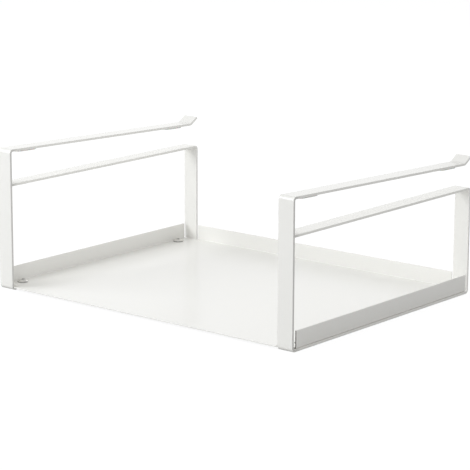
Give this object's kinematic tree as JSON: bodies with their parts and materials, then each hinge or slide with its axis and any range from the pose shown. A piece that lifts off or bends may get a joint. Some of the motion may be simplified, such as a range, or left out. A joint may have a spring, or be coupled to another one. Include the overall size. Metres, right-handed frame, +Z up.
{
  "type": "under-shelf storage rack",
  "caption": "Under-shelf storage rack: a low-rimmed sheet-steel tray, open at the front, hung from bent flat-bar brackets whose arms and rails grip a shelf board.",
  "frame": {"origin": "on the surface below the rack, under the middle of its outer box", "axes": "+X to the right across the width, +Y from the open front to the back rim, +Z up"},
  "size_m": [0.325, 0.25, 0.1249],
  "materials": {
    "powder_coat": "fine satin white powder coat",
    "plated_steel": "bright zinc plate",
    "silicone": "matt translucent white"
  },
  "bodies": {
    "root": {"tray": "powder_coat", "left_bracket": "powder_coat", "right_bracket": "powder_coat", "front_left_screw": "plated_steel", "rear_left_screw": "plated_steel", "front_right_screw": "plated_steel", "rear_right_screw": "plated_steel", "front_left_bumper": "silicone", "rear_left_bumper": "silicone", "front_right_bumper": "silicone", "rear_right_bumper": "silicone"}
  },
  "joints": []
}
